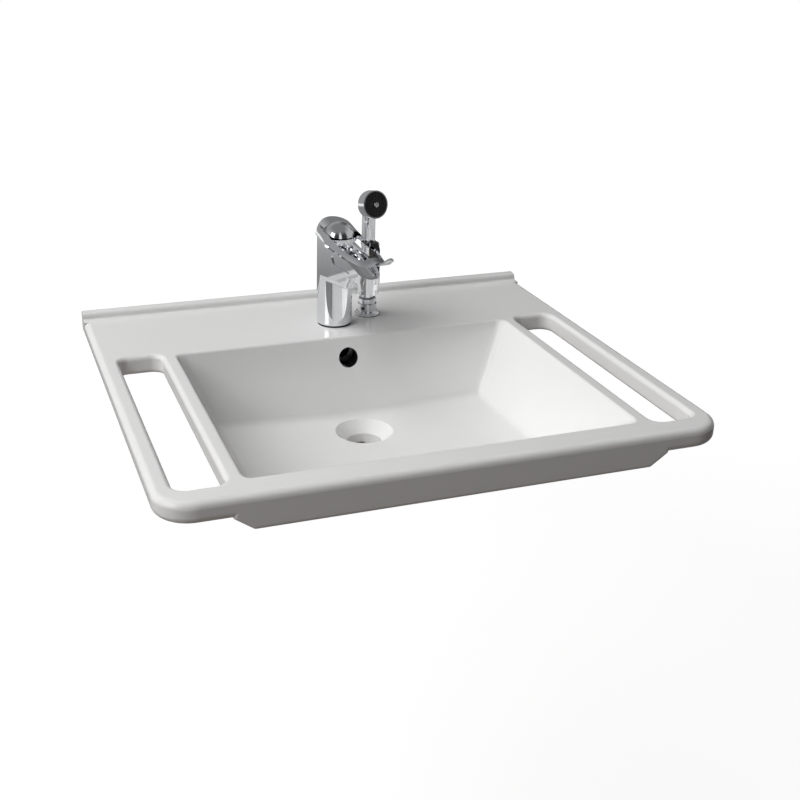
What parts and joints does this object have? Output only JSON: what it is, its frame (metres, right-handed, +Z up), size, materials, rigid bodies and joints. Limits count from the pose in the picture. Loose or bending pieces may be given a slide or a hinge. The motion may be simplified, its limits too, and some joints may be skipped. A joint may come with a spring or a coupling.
{
  "type": "accessible washbasin",
  "caption": "White ceramic accessible washbasin with grip slots in both side rails, a wide shallow bowl, a chrome mixer with an open loop lever and a chrome trigger hand spray on the deck.",
  "frame": {"origin": "midway between the two wall bolt holes, on the rear face that stands against the wall", "axes": "+X to the right seen from the front, +Y into the wall, +Z up"},
  "size_m": [0.65, 0.57, 0.3246],
  "materials": {
    "glazed_china": "glossy white glaze",
    "chrome": "polished chrome plate",
    "black_rubber": "matt black rubber",
    "steel": "plain stainless steel",
    "brass": "bare machined brass",
    "cartridge_plastic": "moulded off-white plastic",
    "disc_ceramic": "lapped alumina",
    "grey_plastic": "moulded grey plastic",
    "black_plastic": "satin black plastic"
  },
  "bodies": {
    "washbasin": {"basin": "glazed_china", "mixer_body": "chrome", "mixer_base_gasket": "black_rubber", "mixer_stud": "steel", "clamp_rubber": "black_rubber", "clamp_plate": "steel", "stud_nut": "brass", "cartridge_base": "cartridge_plastic", "cartridge_seals": "black_rubber", "cartridge_housing": "cartridge_plastic", "fixed_disc": "disc_ceramic", "retainer_nut": "brass", "aerator_housing": "chrome", "aerator_insert": "grey_plastic", "aerator_gasket": "black_rubber", "holder_body": "chrome", "holder_gasket": "black_rubber", "holder_liner": "grey_plastic", "holder_washer": "black_rubber", "holder_nut": "brass"},
    "turning_carrier": {"carrier": "cartridge_plastic", "pivot_pin": "steel"},
    "loop_lever": {"lever": "chrome", "dome_cap": "chrome", "lever_screw": "steel", "stem": "brass"},
    "sliding_disc": {"moving_disc": "disc_ceramic"},
    "hand_spray": {"spray_body": "chrome", "spray_face": "black_plastic", "face_screw": "steel", "trigger_pin": "steel", "valve_sleeve": "brass", "valve_spring": "steel"},
    "spray_trigger": {"trigger": "black_plastic"},
    "spray_valve": {"valve_plunger": "steel"}
  },
  "joints": [
    {"name": "lever_turn", "type": "hinge", "parent": "washbasin", "child": "turning_carrier", "pos_m": [0, -0.121, 0.185], "axis": [0, 0, 1], "range_deg": [-35, 35]},
    {"name": "lever_lift", "type": "hinge", "parent": "turning_carrier", "child": "loop_lever", "pos_m": [0, -0.121, 0.185], "axis": [-0.9903, -0.1392, 0], "range_deg": [0, 20]},
    {"name": "disc_slide", "type": "slide", "parent": "turning_carrier", "child": "sliding_disc", "axis": [0.1392, -0.9903, 0], "range_m": [0, 0.0049]},
    {"name": "spray_lift", "type": "slide", "parent": "washbasin", "child": "hand_spray", "axis": [0, 0, 1], "range_m": [0, 0.12]},
    {"name": "trigger_press", "type": "hinge", "parent": "hand_spray", "child": "spray_trigger", "pos_m": [0.05853, -0.1115, 0.183], "axis": [0.9781, 0.2079, 0], "range_deg": [0, 5], "stiffness_Nm_per_rad": 1.2},
    {"name": "valve_slide", "type": "slide", "parent": "hand_spray", "child": "spray_valve", "axis": [-0.2079, 0.9781, 0], "range_m": [0, 0.00175], "deforming": ["valve_spring"]}
  ],
  "couplings": [
    {"joint": "disc_slide", "follows": "lever_lift", "m_per_rad": 0.0136},
    {"joint": "valve_slide", "follows": "trigger_press", "m_per_rad": 0.019}
  ]
}
